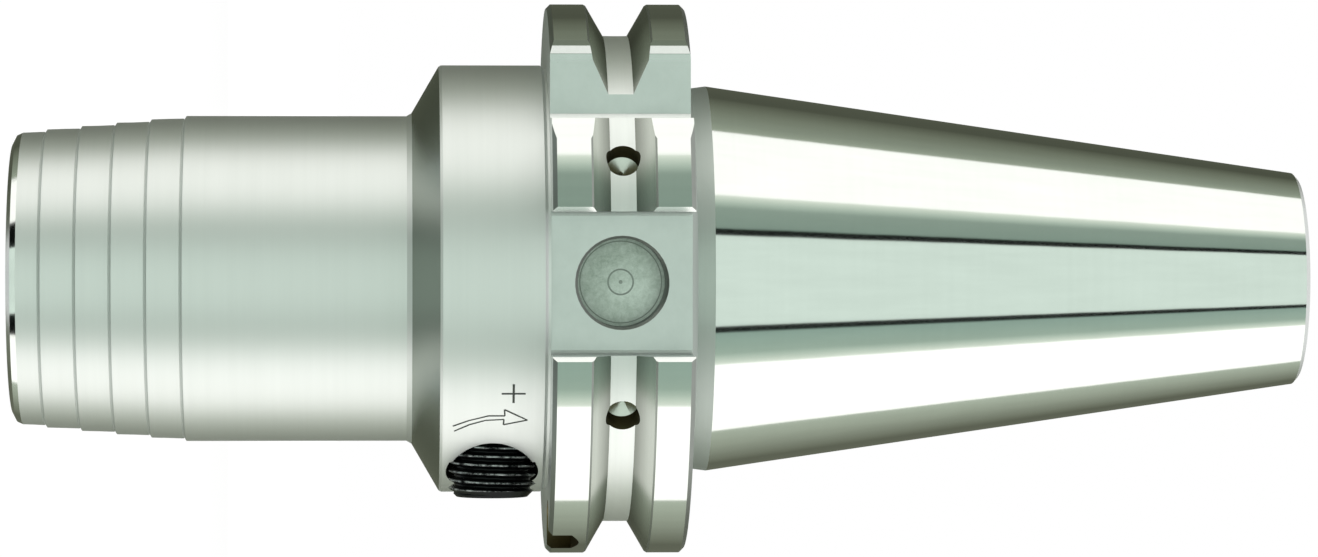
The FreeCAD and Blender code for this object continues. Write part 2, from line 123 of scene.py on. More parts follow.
# Sizes of the patterns that the tools leave. Real turning lines are finer still and wouldn't show
LINE_SPACING = 0.111 * MM
LINE_RUN = 6.67 * MM
BAND_SPACING = 0.714 * MM
BAND_RUN = 40.0 * MM
STREAK_WIDTH = 1.43 * MM
STREAK_RUN = 71.4 * MM
MILLED_GRAIN = 0.3 * MM
BORED_GRAIN = 0.4 * MM
CUTTER_PATCH = 2.86 * MM
POCKET_CLOUD = 1.11 * MM
POCKET_GRAIN = 0.2 * MM
OXIDE_GRAIN = 0.91 * MM
PLAIN_GRAIN = 0.5 * MM
# Painted shade on the groove's flanks: how far out from the groove's floor it reaches, and how dark it is
# there
CORNER_SHADE_WIDTH = 2.6 * MM
CORNER_PAINTED_SHADE = 0.54

# Rings and centre mark that the end mill leaves on the pocket's floor, as (radius, half its width), and the
# place and reach of a painted highlight beside the middle
POCKET_RINGS = ((1.42 * MM, 0.1 * MM), (4.62 * MM, 0.07 * MM), (0, 0.22 * MM))
POCKET_HIGHLIGHT_X = 1.2 * MM
POCKET_HIGHLIGHT_Z = 1.6 * MM
POCKET_HIGHLIGHT_R = 4.5 * MM

# Where the notch's edge rolls over, along X: (from, to, the normal after it)
NOTCH_ROLLS = ((-25.70 * MM, -25.88 * MM, (-0.707, -0.707, 0)),
               (-26.62 * MM, -26.80 * MM, (-0.85, -0.526, 0)))

# The photograph's view: a long lens aimed a little above the chuck's middle, rolled to lay the axis level
PHOTO_WIDTH = 1318
LENS_PIXELS = 5819
SENSOR = 36.0
CAMERA_DISTANCE = 675 * MM
CAMERA_HEIGHT = 41.5 * MM
CAMERA_PAN = math.radians(2.81)
CAMERA_TURN = math.radians(1.24)
CAMERA_NEAR = 0.01
CAMERA_FAR = 50

# Studio: curved cards that only show in the metal, at angles in degrees from -Y towards +X. Minus is up in
# the photograph. A face turned by some angle reflects the card that stands at twice that angle
CARD_R = 1.0
CARD_LOW = -0.75
CARD_HIGH = 0.9
CARD_STEP = 3
TABLE_LOW = -1.45
TABLE_HALF = 1.2
TABLE_SPLIT = 0.1
BACK_SKIRT_LOW = -1.08
BLACK_FRAME = ("202422", "202422")
FRAME_GLOW = (0.02, 0.02)
SCREEN = ("effff4", "effff4")
SOFTBOX = ("fffffa", "fffffa")

# Each side's cards, side by side: name, where it ends, and its colours and strengths at both ends
UPPER_START = -27.6
UPPER_CARDS = (
    ("upper_frame", -31.8, BLACK_FRAME, FRAME_GLOW),
    ("upper_screen", -44.5, ("e0ffeb", "e4ffeb"), (0.385, 0.42)),
    ("upper_feather", -53.0, ("e4ffeb", "f6ffef"), (0.42, 1.0)),
    ("upper_softbox", -101.5, SOFTBOX, (1.42, 1.38)),
    ("upper_flag", -110.0, ("f0ffe4", "f0ffe4"), (0.455, 0.342)),
    ("upper_flag_end", -140.0, ("f0ffe4", "f4ffdb"), (0.342, 0.112)),
    ("upper_backdrop", -180.0, ("f4ffdb", "f4ffdb"), (0.10, 0.10)))
LOWER_START = 27.9
LOWER_CARDS = (
    ("lower_frame", 31.7, BLACK_FRAME, FRAME_GLOW),
    ("lower_screen", 45.0, ("dcffed", "e4ffeb"), (0.48, 0.545)),
    ("lower_feather", 52.5, ("e4ffeb", "f6ffef"), (0.545, 1.0)),
    ("lower_softbox", 103.5, ("fffffc", "fffffa"), (1.58, 1.48)),
    ("lower_flag", 130.0, ("f2ffe9", "f4ffe4"), (0.6, 0.3)),
    ("lower_flag_end", 146.0, ("f4ffe4", "f6ffde"), (0.3, 0.155)),
    ("lower_backdrop", 180.0, ("f6ffde", "f6ffde"), (0.146, 0.146)))

# Below the screens, first on the upper and then on the lower side: ends of the front, start and end of the
# softboxes
SKIRT_FRONTS = (-33.0, 35.0)
SKIRT_STARTS = (-58.0, 56.0)
SKIRT_ENDS = (-100.0, 104.0)

# Room and floor
FILL_LIGHT = 0.9
FLOOR_HALF = 6.0
FLOOR_DROP = 0.05 * MM
FLOOR_GLOW = 1.09
FLOOR_SHADE = 0.15


def linear(code, alpha=1.0):
    """Linear colour of an sRGB hex code."""
    channels = [int(code[i:i + 2], 16) / 255 for i in (0, 2, 4)]
    return [c / 12.92 if c <= 0.04045 else ((c + 0.055) / 1.055) ** 2.4 for c in channels] + [alpha]


def add(tree, kind, inputs=None, **settings):
    """Add a node with its settings, and fill or link its inputs."""
    node = tree.nodes.new(kind)
    for name, value in settings.items():
        setattr(node, name, value)
    for name, value in (inputs or {}).items():
        if isinstance(value, bpy.types.NodeSocket):
            tree.links.new(value, node.inputs[name])
        else:
            node.inputs[name].default_value = value
    return node


def new_material(name):
    """Empty material with its node tree."""
    material = bpy.data.materials.new(name)
    material.use_nodes = True
    material.node_tree.nodes.clear()
    return material, material.node_tree


def lay_finish(tree, colour, roughness, metallic=1.0, **more):
    """Close a tree with its shader. Roughness is a number, or a pattern with its lowest and highest."""
    if isinstance(roughness, tuple):
        pattern, low, high = roughness
        spread = add(tree, "ShaderNodeMapRange", {"Value": pattern, "To Min": low, "To Max": high})
        roughness = spread.outputs["Result"]
    inputs = {"Base Color": colour, "Metallic": metallic, "Roughness": roughness}
    inputs.update(more)
    shader = add(tree, "ShaderNodeBsdfPrincipled", inputs)
    add(tree, "ShaderNodeOutputMaterial", {"Surface": shader.outputs["BSDF"]})


def cells(across, along):
    """Scale of a pattern whose cells have these sizes across the axis and along it."""
    return (1 / across, 1 / across, 1 / along)


def world_normal(tree, vector):
    """World normal along a vector that is worked out in the part's own frame."""
    level = add(tree, "ShaderNodeVectorMath", {0: vector}, operation="NORMALIZE")
    return add(tree, "ShaderNodeVectorTransform", {"Vector": level.outputs["Vector"]}, vector_type="NORMAL",
               convert_from="OBJECT", convert_to="WORLD").outputs["Vector"]


def from_axis(tree, place, keep, shift=(0, 0, 0)):
    """Vector from an axis to a place: the place is shifted, and keep has 0 for the axis's direction."""
    moved = add(tree, "ShaderNodeVectorMath", {0: place, 1: shift}, operation="ADD").outputs["Vector"]
    return add(tree, "ShaderNodeVectorMath", {0: moved, 1: keep}, operation="MULTIPLY").outputs["Vector"]


def distance_from_axis(tree, place, keep, shift=(0, 0, 0)):
    """Distance of a place from an axis, given as in from_axis."""
    outward = from_axis(tree, place, keep, shift)
    return add(tree, "ShaderNodeVectorMath", {0: outward}, operation="LENGTH").outputs["Value"]


def upright_normal(tree, place):
    """Normal straight out from the axis. The groove's floor has it, also beside its holes, and so have the
    flanks, because two flanks 60 degrees apart send light back out as an upright face would."""
    return world_normal(tree, from_axis(tree, place, (1, 1, 0)))


def notch_normal(tree, place):
    """Normal of the notch's hand-broken edge, which rolls from its wall over the bevel into the rim."""
    across = add(tree, "ShaderNodeSeparateXYZ", {"Vector": place}).outputs["X"]
    normal = (0, -1, 0)
    for begin, end, after in NOTCH_ROLLS:
        share = add(tree, "ShaderNodeMapRange", {"Value": across, "From Min": begin, "From Max": end})
        normal = add(tree, "ShaderNodeMix", {"Factor": share.outputs["Result"], "A": normal, "B": after},
                     data_type="VECTOR").outputs["Result"]
    return world_normal(tree, normal)


def turned_steel(name, colour, roughness, anisotropy, line_depth, contrast, groove=None, streak=0.0):
    """Hardened steel cut or ground round Z: fine lines run round the axis and stretch its reflections along
    it, and faint streaks lie along it. A groove's flank gets darker towards the corner, as painted shade.
    """
    material, tree = new_material(name)
    place = add(tree, "ShaderNodeTexCoord").outputs["Object"]
    fine = add(tree, "ShaderNodeMapping", {"Vector": place, "Scale": cells(LINE_RUN, LINE_SPACING)})
    broad = add(tree, "ShaderNodeMapping", {"Vector": place, "Scale": cells(BAND_RUN, BAND_SPACING)})
    long = add(tree, "ShaderNodeMapping", {"Vector": place, "Scale": cells(STREAK_WIDTH, STREAK_RUN)})
    lines = add(tree, "ShaderNodeTexNoise", {"Vector": fine.outputs["Vector"], "Scale": 1.0, "Detail": 3.0})
    bands = add(tree, "ShaderNodeTexNoise", {"Vector": broad.outputs["Vector"], "Scale": 1.0, "Detail": 5.0,
                                             "Roughness": 0.6}).outputs["Fac"]
    streaks = add(tree, "ShaderNodeTexNoise", {"Vector": long.outputs["Vector"], "Scale": 1.0,
                                               "Detail": 4.0})
    bump = add(tree, "ShaderNodeBump", {"Height": lines.outputs["Fac"], "Strength": 1.0,
                                        "Distance": line_depth})
    if groove:
        tree.links.new(upright_normal(tree, place), bump.inputs["Normal"])
    tangent = add(tree, "ShaderNodeTangent", direction_type="RADIAL", axis="Z")
    banding = add(tree, "ShaderNodeMapRange", {"Value": bands, "To Min": 0.0, "To Max": contrast})
    dull = add(tree, "ShaderNodeMath", {0: streaks.outputs["Fac"], 1: streak, 2: banding.outputs["Result"]},
               operation="MULTIPLY_ADD").outputs[0]
    shade = "6f756c"
    # A flank mixes towards a darker colour, and more so towards the groove's corner: painted shade
    if groove == "flank":
        shade = "3c3f38"
        out = distance_from_axis(tree, place, (1, 1, 0))
        corner = add(tree, "ShaderNodeMapRange", {
            "Value": out, "From Min": GROOVE_FLOOR_R, "From Max": GROOVE_FLOOR_R + CORNER_SHADE_WIDTH,
            "To Min": CORNER_PAINTED_SHADE, "To Max": 0.0})
        dull = add(tree, "ShaderNodeMath", {0: dull, 1: corner.outputs["Result"]},
                   operation="ADD").outputs[0]
    wear_and_painted_light = add(tree, "ShaderNodeMix", {"Factor": dull, "A": linear(colour), "B": linear(shade)},
               data_type="RGBA")
    lay_finish(tree, wear_and_painted_light.outputs["Result"],
               (bands, roughness * (1 - contrast), roughness * (1 + contrast)),
               Anisotropic=anisotropy, Tangent=tangent.outputs["Tangent"], Normal=bump.outputs["Normal"],
               **{"Anisotropic Rotation": 0.25})
    return material


def milled_steel(name, colour, shade, roughness, grain, depth, contrast, rolled=False):
    """Hardened steel milled flat: a fine cloudy grain, with patches where the cutter left it duller."""
    material, tree = new_material(name)
    place = add(tree, "ShaderNodeTexCoord").outputs["Object"]
    grains = add(tree, "ShaderNodeTexNoise", {"Vector": place, "Scale": 1 / grain, "Detail": 6.0,
                                              "Roughness": 0.7}).outputs["Fac"]
    patches = add(tree, "ShaderNodeTexNoise", {"Vector": place, "Scale": 1 / CUTTER_PATCH, "Detail": 4.0,
                                               "Roughness": 0.65})
    bump = add(tree, "ShaderNodeBump", {"Height": grains, "Strength": 1.0, "Distance": depth})
    if rolled:
        tree.links.new(notch_normal(tree, place), bump.inputs["Normal"])
    dull = add(tree, "ShaderNodeMapRange", {"Value": patches.outputs["Fac"], "To Max": 2 * contrast})
    cloud = add(tree, "ShaderNodeMix", {"Factor": dull.outputs["Result"], "A": linear(colour),
                                        "B": linear(shade)}, data_type="RGBA")
    lay_finish(tree, cloud.outputs["Result"],
               (grains, roughness * (1 - contrast), roughness * (1 + contrast)),
               Normal=bump.outputs["Normal"])
    return material


def pocket_steel(name):
    """Floor of the round pocket as the end mill left it: cloudy, with rings and the cutter's centre, and a
    painted highlight beside the middle.
    """
    material, tree = new_material(name)
    place = add(tree, "ShaderNodeTexCoord").outputs["Object"]
    out = distance_from_axis(tree, place, (1, 0, 1), (0, 0, -GROOVE_Z))
    clouds = add(tree, "ShaderNodeTexNoise", {"Vector": place, "Scale": 1 / POCKET_CLOUD, "Detail": 10.0,
                                              "Roughness": 0.8, "Distortion": 0.3}).outputs["Fac"]
    # Painted highlight: lighter near a spot beside the middle, fading out with distance from it
    away = distance_from_axis(tree, place, (1, 0, 1), (-POCKET_HIGHLIGHT_X, 0, -GROOVE_Z - POCKET_HIGHLIGHT_Z))
    painted_highlight = add(tree, "ShaderNodeMapRange", {"Value": away, "From Max": POCKET_HIGHLIGHT_R,
                                             "To Min": 0.14, "To Max": -0.08})
    clouds_and_highlight = add(tree, "ShaderNodeMath", {0: clouds, 1: painted_highlight.outputs["Result"]}, operation="ADD")
    light = add(tree, "ShaderNodeMapRange", {"Value": clouds_and_highlight.outputs[0], "From Min": 0.3, "From Max": 0.72})
    mottled = add(tree, "ShaderNodeMix", {"Factor": light.outputs["Result"], "A": linear("949e95"),
                                          "B": linear("cfd7d1")}, data_type="RGBA")
    drawn = 0.0
    for radius, half in POCKET_RINGS:
        ring = add(tree, "ShaderNodeMath", {0: out, 1: radius, 2: half}, operation="COMPARE").outputs[0]
        drawn = add(tree, "ShaderNodeMath", {0: ring, 1: drawn}, operation="MAXIMUM").outputs[0]
    faint = add(tree, "ShaderNodeMath", {0: drawn, 1: clouds}, operation="MULTIPLY")
    marked = add(tree, "ShaderNodeMix", {"Factor": faint.outputs[0], "A": mottled.outputs["Result"],
                                         "B": linear("30352f")}, data_type="RGBA")
    fine = add(tree, "ShaderNodeTexNoise", {"Vector": place, "Scale": 1 / POCKET_GRAIN, "Detail": 4.0})
    bump = add(tree, "ShaderNodeBump", {"Height": fine.outputs["Fac"], "Strength": 1.0,
                                        "Distance": 0.012 * MM})
    lay_finish(tree, marked.outputs["Result"], (clouds, 0.25, 0.5), Normal=bump.outputs["Normal"])
    return material


def tapped_steel(name, pitch):
    """Tapped hole along Z: dark, with the thread's turns as raised lines."""
    material, tree = new_material(name)
    place = add(tree, "ShaderNodeTexCoord").outputs["Object"]
    apart = add(tree, "ShaderNodeSeparateXYZ", {"Vector": place})
    around = add(tree, "ShaderNodeMath", {0: apart.outputs["Y"], 1: apart.outputs["X"]},
                 operation="ARCTAN2")
    turns = add(tree, "ShaderNodeMath", {0: around.outputs[0], 1: 1 / math.tau}, operation="MULTIPLY")
    height = add(tree, "ShaderNodeMath", {0: apart.outputs["Z"], 1: 1 / pitch, 2: turns.outputs[0]},
                 operation="MULTIPLY_ADD")
    ridge = add(tree, "ShaderNodeMath", {0: height.outputs[0], 1: 0.5}, operation="PINGPONG")
    bump = add(tree, "ShaderNodeBump", {"Height": ridge.outputs[0], "Strength": 1.0, "Distance": pitch})
    lay_finish(tree, linear("7c7a70"), 0.35, Normal=bump.outputs["Normal"])
    return material


def black_oxide(name, painted_crest_glints=False):
    """Blackened steel, slightly oily: near black, with worn patches of bare steel. On a thread they lie
    only on the crests: wear that crests get, and painted glints.
    """
    material, tree = new_material(name)
    place = add(tree, "ShaderNodeTexCoord").outputs["Object"]
    grains = add(tree, "ShaderNodeTexNoise", {"Vector": place, "Scale": 1 / OXIDE_GRAIN, "Detail": 6.0,
                                              "Roughness": 0.7}).outputs["Fac"]
    wear_and_painted_light = add(tree, "ShaderNodeMapRange", {"Value": grains, "From Min": 0.42, "From Max": 0.62})
    share = wear_and_painted_light.outputs["Result"]
    # Bare patches kept to the thread's crests: worn crests, and painted glints where highlights fall
    if painted_crest_glints:
        out = distance_from_axis(tree, place, (0, 1, 1), (0, -SCREW_Y, -SCREW_Z))
        crest_glint = add(tree, "ShaderNodeMapRange", {"Value": out, "From Min": THREAD_R - 0.16 * MM,
                                                 "From Max": THREAD_R - 0.04 * MM})
        share = add(tree, "ShaderNodeMath", {0: share, 1: crest_glint.outputs["Result"]},
                    operation="MULTIPLY").outputs[0]
    colour = add(tree, "ShaderNodeMix", {"Factor": share, "A": linear("101213"), "B": linear("b4b9b9")},
                 data_type="RGBA")
    bump = add(tree, "ShaderNodeBump", {"Height": grains, "Strength": 1.0, "Distance": 0.04 * MM})
    lay_finish(tree, colour.outputs["Result"], (grains, 0.2, 0.4), 0.85, Normal=bump.outputs["Normal"])
    return material


def plain(name, colour, roughness, metallic=0.0):
    """Even surface, as moulded or polished, or near black as a hole's painted shade, with a trace of grain
    in its gloss.
    """
    material, tree = new_material(name)
    place = add(tree, "ShaderNodeTexCoord").outputs["Object"]
    grains = add(tree, "ShaderNodeTexNoise", {"Vector": place, "Scale": 1 / PLAIN_GRAIN, "Detail": 3.0})
    lay_finish(tree, linear(colour), (grains.outputs["Fac"], roughness * 0.85, roughness * 1.15), metallic)
    return material


FINISHES = {
    # Nose, collar and flange faces: satin, since the lines are coarse enough to blur what they reflect
    "turned": turned_steel("turned_hardened_steel", "dcdfdd", 0.46, 0.25, 0.0006 * MM, 0.06),
    # Cone between nose and collar: a finer cut, which mirrors the dark table, with a darker colour that is
    # painted shade
    "shoulder": turned_steel("turned_shoulder_steel", "aab0a9", 0.25, 0.50, 0.0006 * MM, 0.08),
    # Taper and rims: ground, so cards and black bars show in it with sharp edges
    "ground": turned_steel("ground_hardened_steel", "e4e7e5", 0.10, 0.85, 0.0001 * MM, 0.05, streak=0.14),
    # Relief between flange and taper: dull and a little darker
    "neck": turned_steel("turned_neck_steel", "b8bfba", 0.50, 0.20, 0.0010 * MM, 0.10),
    # The V-groove: a pale satin floor between flanks that show light and dark bars. The flanks' darker
    # colour is painted shade, for the light lost between the two flanks
    "floor": turned_steel("hard_turned_floor_steel", "e9ecea", 0.46, 0.20, 0.0010 * MM, 0.12, "floor"),
    "flank": turned_steel("hard_turned_flank_steel", "adb2ab", 0.24, 0.40, 0.0005 * MM, 0.12, "flank"),
    # Bevels and keyways: broken edges are dull, with a darker colour that is painted shade; milled floors
    # are cloudy and pale
    "edge": milled_steel("broken_edge_steel", "9da29c", "70756f", 0.38, MILLED_GRAIN, 0.001 * MM, 0.2),
    "milled": milled_steel("milled_hardened_steel", "ccd1cf", "9ea6a2", 0.30, MILLED_GRAIN,
                           0.001 * MM, 0.2),
    # The notch's bevel: bright along the narrow line where it was broken by hand
    "notch_edge": milled_steel("hand_broken_notch_steel", "ccd1cf", "9ea6a2", 0.12, MILLED_GRAIN,
                               0.001 * MM, 0.2, rolled=True),
    "pocket": pocket_steel("end_milled_pocket_steel"),
    # The pocket's wall: nearly black, as painted shade
    "recess": milled_steel("milled_recess_steel", "2c2e28", "10110e", 0.4, MILLED_GRAIN, 0.004 * MM, 0.3),
    # Bores: greyer, with the boring tool's clouds
    "bored": milled_steel("bored_hardened_steel", "a9ada3", "6d7068", 0.3, BORED_GRAIN, 0.001 * MM, 0.2),
    # Balancing holes: brown scale from hardening on the walls, darkened further as painted shade, and bare
    # metal on the drill's point
    "drilled": milled_steel("drilled_unpolished_steel", "736a4e", "3a3522", 0.4, MILLED_GRAIN,
                            0.004 * MM, 0.3),
    "point": milled_steel("drill_point_steel", "dde0da", "9da39a", 0.25, MILLED_GRAIN, 0.001 * MM, 0.2),
    "tapped": tapped_steel("tapped_m16_steel", STUD_PITCH),
    # The clamping screw's hole: near black, painted shade
    "hole_shade": plain("painted_shade_hole_steel", "14160f", 0.5, 0.3),
}


def round_hole(centre, normal, axis_angle, radius):
    """Which finish a face in a radial hole of the flange has, or None if it is outside the hole."""
    turn = math.radians(axis_angle)
    axis = Vector((math.sin(turn), -math.cos(turn), 0))
    along = centre.dot(axis)
    off = centre - axis * along - Vector((0, 0, GROOVE_Z))
    facing = abs(normal.dot(axis))
    if along < BALANCE_INNERMOST or off.length > radius + SLACK or facing > 0.95:
        return None
    return "drilled" if facing < 0.2 else "point"


def in_rim_hole(centre, normal):
    """Whether a face is the wall or the cone of the hole that stands along Z in the flange's rim."""
    turn = math.radians(RIM_HOLE_ANGLE)
    off_x = centre.x - RIM_HOLE_OUT * math.sin(turn)
    off_y = centre.y + RIM_HOLE_OUT * math.cos(turn)
    facing_in = off_x * normal.x + off_y * normal.y < 0
    return math.hypot(off_x, off_y) < RIM_HOLE_R + SLACK and centre.z < RIM_HOLE_TOP and facing_in \
        and -0.97 < normal.z < 0.1


def flange_finish(centre, normal, r, outward):
    """Which finish a face of the flange has."""
    if math.hypot(centre.x, centre.z - GROOVE_Z) < POCKET_R and 0 < -centre.y < KEYWAY_FLOOR - HAIR:
        return "pocket" if abs(normal.y) > 0.9 else "edge" if abs(normal.y) > 0.5 else "recess"
    if in_rim_hole(centre, normal):
        return "drilled"
    for angle in BALANCE_ANGLES:
        kind = round_hole(centre, normal, angle, BALANCE_R)
        if kind:
            return kind
    if max(abs(normal.x), abs(normal.y)) > 0.9999 and r < RIM_R - NEAR:
        return "milled"
    if abs(normal.z) < 0.01 and normal.x < -0.5 and normal.y < -0.5 and centre.x < -NOTCH_INNERMOST \
            and abs(normal.x - normal.y) < 0.02:
        return "notch_edge"
    if abs(normal.z) > 0.99:
        return "turned"
    if abs(abs(normal.z) - math.cos(GROOVE_HALF_ANGLE)) < 0.1 and outward > 0:
        return "flank"
    if r > RIM_R - RIM_BEVEL:
        return "edge" if 0.3 < abs(normal.z) < 0.8 else "ground"
    return "floor"


def finish_of(centre, normal):
    """Which finish a face of the body has, by where it lies and which way it looks."""
    r = math.hypot(centre.x, centre.y)
    outward = (centre.x * normal.x + centre.y * normal.y) / max(r, 1e-6)
    z = centre.z
    # The clamping screw's hole is painted near black as shade
    if math.hypot(centre.y - SCREW_Y, z - SCREW_Z) < SCREW_MOUTH_R + SLACK and centre.x > 0 \
            and abs(normal.x) < 0.9 and BODY_BORE_R < r < COLLAR_R - HAIR:
        return "hole_shade"
    if z > TAPER_END - STUD_DEPTH and r < STUD_R + NEAR:
        return "tapped"
    if r < BODY_BORE_R + NEAR and outward < -0.5:
        return "bored"
    if z > TAPER_START - NEAR:
        return "ground" if outward > 0.9 else "turned"
    if z < NOSE_LEAD_TOP and r > NOSE_FACE_R and normal.z > -0.99 and outward > 0:
        return "ground"
    if z > FLANGE_TOP + HAIR:
        return "neck"
    if z < FLANGE_BOTTOM - HAIR:
        return "shoulder" if -0.95 < normal.z < -0.7 and outward > 0 and r > NOSE_BARREL_R else "turned"
    return flange_finish(centre, normal, r, outward)


def dress_body():
    """Give each face of the body its finish: what its tool left, with painted shade on some faces and a
    painted highlight in the pocket.
    """
    body = frame["nodes"]["chuck_body"]
    names = list(FINISHES)
    body.data.materials.clear()
    for name in names:
        body.data.materials.append(FINISHES[name])
    for face in body.data.polygons:
        face.material_index = names.index(finish_of(face.center, face.normal))


def new_piece(name, points, faces, material, body, smooth=None):
    """Piece of the chuck that rides on a body. Edges sharper than smooth, in degrees, stay sharp."""
    mesh = bpy.data.meshes.new(name)
    mesh.from_pydata(points, [], faces)
    mesh.materials.append(material)
    if smooth:
        mesh.shade_smooth()
        mesh.set_sharp_from_angle(angle=math.radians(smooth))
    piece = bpy.data.objects.new(name, mesh)
    bpy.context.scene.collection.objects.link(piece)
    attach(piece, body)
    return piece


def hexagon(across_flats):
    """Radius of a hexagon at an angle."""
    return lambda turn: across_flats / 2 / math.cos(turn % (math.pi / 3) - math.pi / 6)


def circle(radius):
    """Radius of a circle at an angle."""
    return lambda turn: radius


def thread_rows(length, chamfer, bare=None):
    """Rows of a right-hand thread from one end to the other: (distance, radius at an angle).
    bare is (from, to, radius) of a stretch without thread."""
    root = THREAD_R - THREAD_DEPTH
    crest_flat = THREAD_PITCH / 8
    flank = THREAD_DEPTH * math.tan(math.radians(30))

    def radius(distance):
        def at(turn):
            place = (distance / THREAD_PITCH + turn / math.tau) % 1 * THREAD_PITCH
            from_crest = max(0, abs(place - THREAD_PITCH / 2) - crest_flat / 2)
            form = THREAD_R - min(THREAD_DEPTH, from_crest / flank * THREAD_DEPTH)
            edge = THREAD_R - chamfer + min(distance, length - distance)
            if bare and bare[0] < distance < bare[1]:
                form = bare[2]
            return max(min(form, edge), min(root, THREAD_R - chamfer))
        return at
    count = round(length / THREAD_PITCH * ROWS_PER_PITCH)
    return [(length * i / count, radius(length * i / count)) for i in range(count + 1)]


def spun(name, rows, place, closed, material, body):
    """Piece with its skin through rows of (distance, radius at an angle); place turns those into points."""
    points, faces = [], []
    for distance, radius in rows:
        for step in range(ROUND_STEPS):
            turn = math.tau * step / ROUND_STEPS
            points.append(place(distance, turn, radius(turn)))
    count = len(rows)
    for row in range(count if closed else count - 1):
        after = (row + 1) % count
        for step in range(ROUND_STEPS):
            beside = (step + 1) % ROUND_STEPS
            faces.append((row * ROUND_STEPS + step, after * ROUND_STEPS + step,
                          after * ROUND_STEPS + beside, row * ROUND_STEPS + beside))
    if not closed:
        faces.append(list(range(ROUND_STEPS)))
        faces.append([(count - 1) * ROUND_STEPS + step for step in reversed(range(ROUND_STEPS))])
    return new_piece(name, points, faces, material, body, SHARP_ANGLE)


def dress_screws(black):
    """Clamping screw and length stop screw with their real threads."""
    def across(distance, turn, radius):
        return (SCREW_X - distance, SCREW_Y + radius * math.sin(turn), SCREW_Z + radius * math.cos(turn))

    def upward(distance, turn, radius):
        return (radius * math.cos(turn), radius * math.sin(turn), STOP_Z + distance)

    socket = hexagon(SOCKET_ACROSS)
    drilled = circle(SOCKET_ACROSS / 2)
    rows = [(SCREW_SOCKET_TIP, circle(TIP_R)), (SCREW_SOCKET_DEPTH, drilled), (SCREW_SOCKET_DEPTH, socket),
            (0, socket)]
    rows += thread_rows(SCREW_L, SCREW_CHAMFER)
    rows += [(SCREW_L, circle(BALL_CUP_R)), (SCREW_L - BALL_CUP_DEPTH, circle(TIP_R))]
    worn_black_glinting = black_oxide("worn_black_oxide_glint_steel", painted_crest_glints=True)
    screw = spun("clamping_screw_threaded", rows, across, False, worn_black_glinting, "clamping_screw")
    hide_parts("clamping_screw")

    bore = circle(STOP_BORE_R)
    rows = [(STOP_L, bore), (STOP_BORE_START, bore), (STOP_SOCKET_DEPTH, drilled),
            (STOP_SOCKET_DEPTH, socket), (0, socket)]
    rows += thread_rows(STOP_L, STOP_CHAMFER, (STOP_RING_START, STOP_RING_END, STOP_RING_FLOOR_R))
    stop = spun("length_stop_screw_threaded", rows, upward, True, black, "stop_screw")
    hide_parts("length_stop_screw")


def on_collar(turn, z):
    """Point just above the collar, at an angle in degrees from -Y towards +X."""
    angle = math.radians(turn)
    return ((COLLAR_R + MARK_LIFT) * math.sin(angle), -(COLLAR_R + MARK_LIFT) * math.cos(angle), z)


def stroke(points, faces, start, end, width):
    """Add one straight stroke of a mark, laid round the collar in short steps."""
    degree = math.radians(1) * COLLAR_R / MM
    across = Vector(((end[0] - start[0]) * degree, end[1] - start[1]))
    aside = Vector((-across.y, across.x)).normalized() * width / 2
    steps = max(1, math.ceil(across.length / MARK_STEP))
    for i in range(steps + 1):
        turn = start[0] + (end[0] - start[0]) * i / steps
        z = start[1] + (end[1] - start[1]) * i / steps
        for side in (-1, 1):
            points.append(on_collar(turn + side * aside.x / degree, (z + side * aside.y) * MM))
    first = len(points) - 2 * (steps + 1)
    for i in range(steps):
        corner = first + 2 * i
        faces.append((corner, corner + 1, corner + 3, corner + 2))


def marks():
    """Lasered marks on the collar: a plus and an outlined arrow that show which way the screw clamps.
    The laser anneals the steel to an even dark grey, without depth."""
    ink = plain("laser_annealed_steel", "3c403c", 0.5, 0.4)
    turn, z = PLUS_PLACE
    points, faces = [], []
    stroke(points, faces, (turn - PLUS_HALF_ANGLE, z), (turn + PLUS_HALF_ANGLE, z), PLUS_WIDTHS[0])
    stroke(points, faces, (turn, z - PLUS_HALF_HEIGHT), (turn, z + PLUS_HALF_HEIGHT), PLUS_WIDTHS[1])
    new_piece("plus_mark", points, faces, ink, "chuck")
    points, faces = [], []
    for start, end in zip(ARROW, ARROW[1:]):
        stroke(points, faces, start, end, ARROW_WIDTH)
    new_piece("turn_arrow_mark", points, faces, ink, "chuck")


def dress_nodes():
    """Finishes of the pieces other than the body: black oxide on screws that a key turns, mirror-bright
    balls, dull black rubber seals and an ivory plastic ring."""
    black = black_oxide("black_oxide_steel")
    chrome = plain("polished_ball_steel", "dcdcdc", 0.08, 1.0)
    rubber = plain("moulded_rubber", "141414", 0.6)
    plastic = plain("turned_plastic", "e2ddcf", 0.45)
    ground = FINISHES["ground"]
    coats = {"expansion_sleeve": ground, "clamping_screw": black, "length_stop_screw": black,
             "bleed_screw": black, "coolant_seal_screw_a": black, "coolant_seal_screw_b": black,
             "thrust_ball": chrome, "bleed_ball": chrome, "pressure_piston": ground,
             "cross_hole_plug_a": ground, "cross_hole_plug_b": ground, "piston_backup_ring": plastic,
             "piston_seal": rubber, "stop_screw_seal": rubber}
    for name, coat in coats.items():
        mesh = frame["nodes"][name].data
        mesh.materials.clear()
        mesh.materials.append(coat)
    dress_screws(black)


